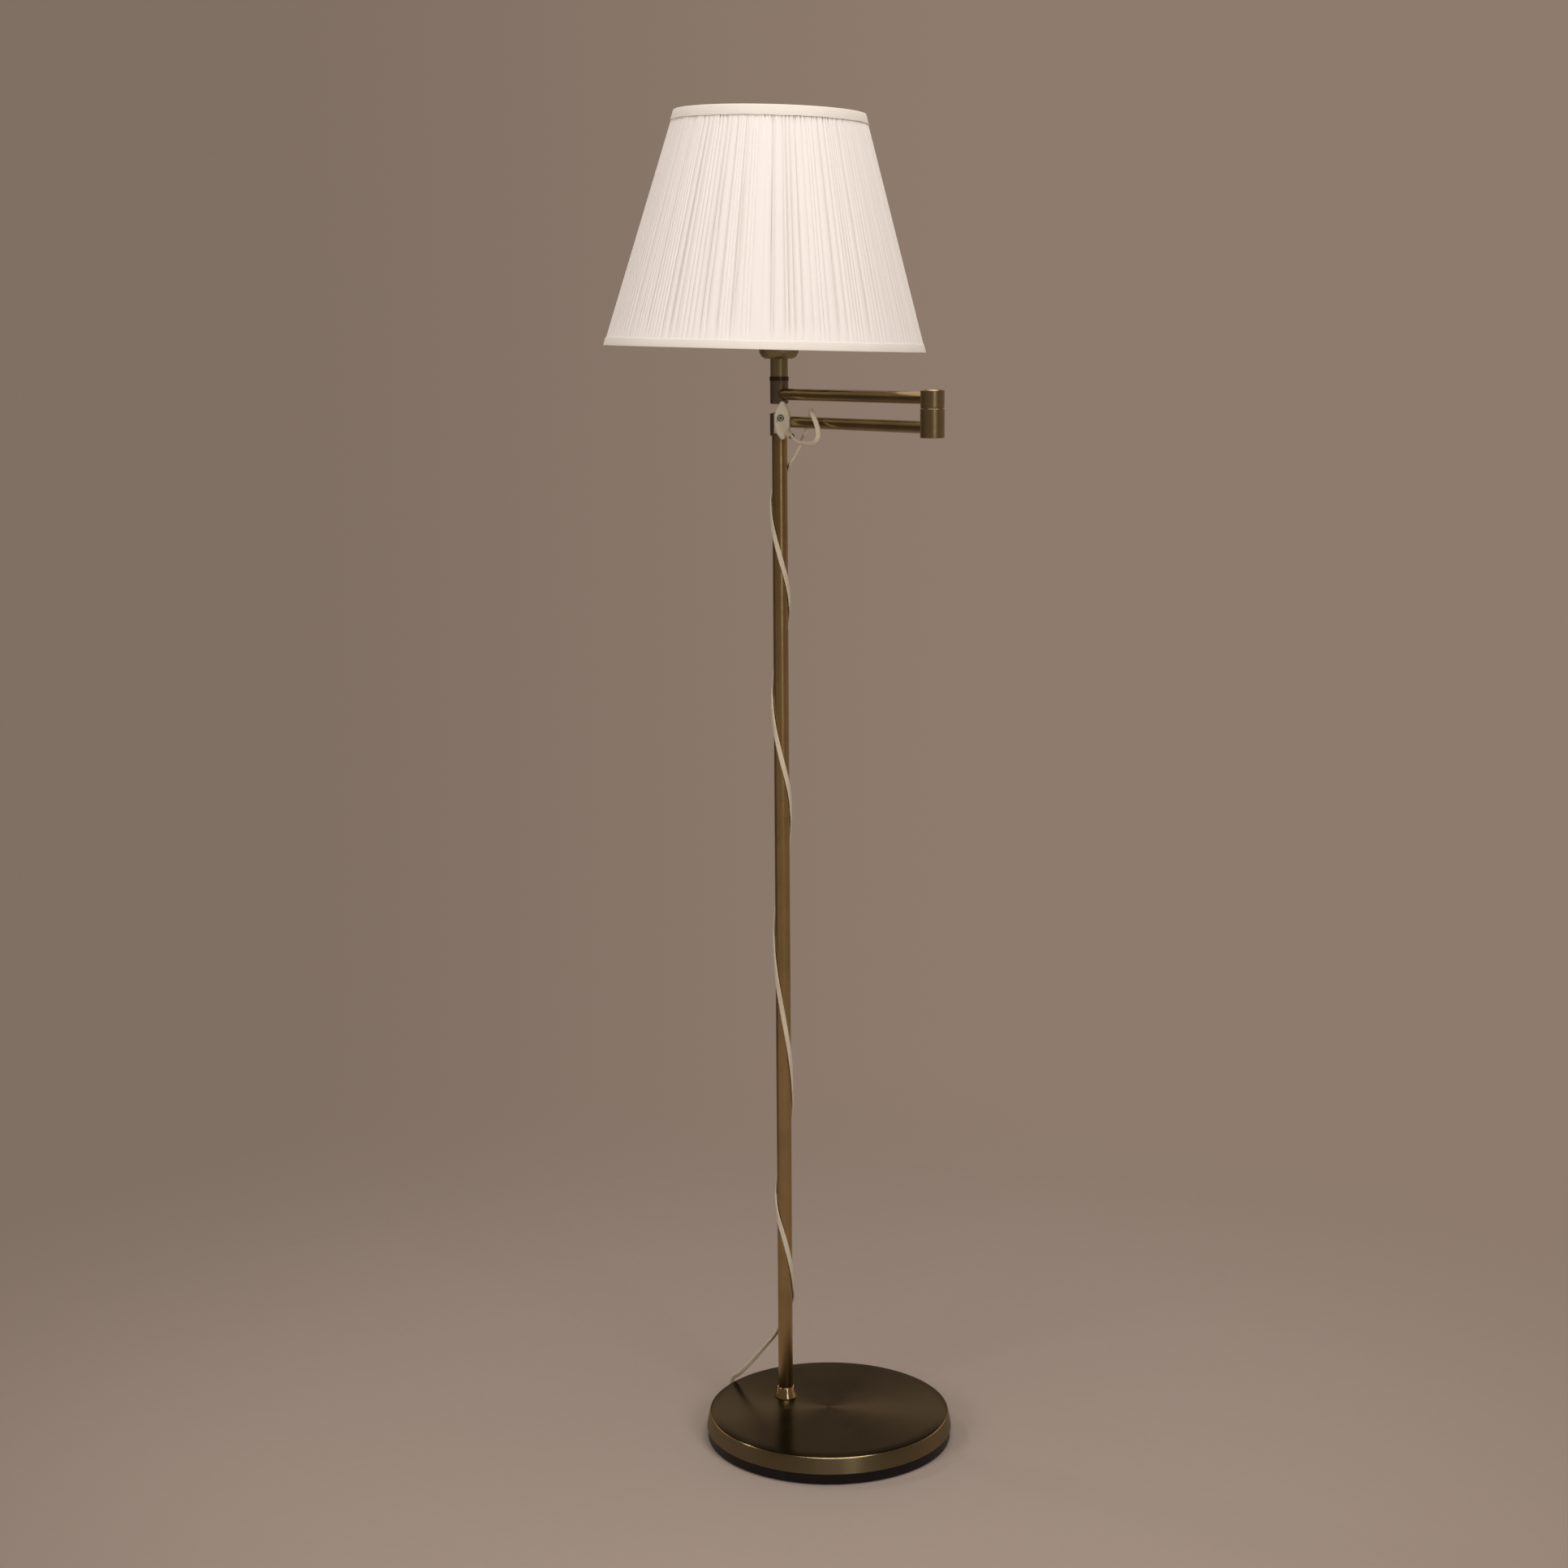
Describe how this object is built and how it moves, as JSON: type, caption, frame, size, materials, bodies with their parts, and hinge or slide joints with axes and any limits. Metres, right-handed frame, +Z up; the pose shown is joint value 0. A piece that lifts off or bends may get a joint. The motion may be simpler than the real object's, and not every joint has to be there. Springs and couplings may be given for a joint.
{
  "type": "swing-arm floor lamp",
  "caption": "Floor lamp on a weighted round brass base, with a two-part swing arm that carries a gathered cone shade, and a cord wound round its pole.",
  "frame": {"origin": "centre of the base's underside, on the floor", "axes": "+Z up along the pole, folded arms pointing to +X and -Y, the cord leaving over the base's rear left rim"},
  "size_m": [0.3616, 0.4031, 1.4118],
  "materials": {
    "aged_brass": "satin, aged",
    "bright_brass": "polished, lacquered",
    "dark_bronze": "dark patina",
    "cast_iron": "raw casting",
    "black_enamel": "semi-gloss",
    "black_felt": "matt",
    "steel": "zinc plated",
    "black_moulding": "moulded",
    "white_moulding": "moulded",
    "cream_moulding": "moulded",
    "cream_flex": "satin sheath",
    "nickel": "polished",
    "frosted_glass": "frosted",
    "shade_fabric": "gathered plain weave",
    "shade_lining": "smooth laminated",
    "shade_trim": "woven tape",
    "white_wire": "powder coated"
  },
  "bodies": {
    "root": {"base_cover": "aged_brass", "base_weight": "cast_iron", "foot_ring": "black_enamel", "felt_pad": "black_felt", "foot_collar": "bright_brass", "pole_stud": "steel", "stud_washer": "steel", "stud_nut": "steel", "pole_tube": "aged_brass", "pole_foot_plug": "steel", "pole_head_plug": "steel", "pivot_washer": "black_moulding", "pivot_screw": "steel", "cord_winding": "cream_flex", "cord_tail": "cream_flex", "cord_hank": "cream_flex", "cord_tie": "black_felt", "cord_end": "cream_flex", "plug_body": "cream_moulding", "plug_pins": "nickel"},
    "lower_arm": {"pole_sleeve": "bright_brass", "sleeve_cap": "bright_brass", "lower_arm_tube": "bright_brass", "elbow_lower": "bright_brass", "elbow_bottom_cap": "bright_brass", "lower_lead": "cream_flex", "switch_back": "white_moulding", "switch_cover": "white_moulding", "cord_gland": "cream_moulding", "cord_loop": "cream_flex"},
    "switch_button": {"switch_button": "black_moulding"},
    "upper_arm": {"elbow_upper": "bright_brass", "elbow_top_cap": "bright_brass", "elbow_nipple": "steel", "elbow_nut": "steel", "elbow_locknut": "steel", "upper_arm_tube": "bright_brass", "holder_sleeve": "dark_bronze", "upper_lead": "cream_flex", "holder_bush": "black_moulding", "holder_stem": "bright_brass", "holder_nipple": "steel", "holder_nut": "steel", "holder_cup": "bright_brass", "cup_nut": "steel", "lampholder_body": "black_moulding", "lampholder_shell": "steel", "lampholder_contact": "bright_brass", "shade_nut_lower": "black_moulding", "shade_nut_upper": "black_moulding", "bulb_cap": "nickel", "bulb_glass": "frosted_glass", "shade_cover": "shade_fabric", "shade_lining": "shade_lining", "trim_bottom": "shade_trim", "trim_top": "shade_trim", "shade_wire_bottom": "white_wire", "shade_wire_top": "white_wire", "shade_fitter": "white_wire"}
  },
  "joints": [
    {"name": "shoulder_turn", "type": "hinge", "parent": "root", "child": "lower_arm", "pos_m": [-0.0471, 0.0314, 1.09], "axis": [0, 0, 1], "range_deg": [-120, 120], "deforming": ["cord_loop"]},
    {"name": "elbow_turn", "type": "hinge", "parent": "lower_arm", "child": "upper_arm", "pos_m": [0.09886, -0.19336, 1.116], "axis": [0, 0, 1], "range_deg": [-170, 170]},
    {"name": "switch_press", "type": "slide", "parent": "lower_arm", "child": "switch_button", "axis": [0, 1, 0], "range_m": [0, 0.0018], "stiffness_N_per_m": 150}
  ]
}
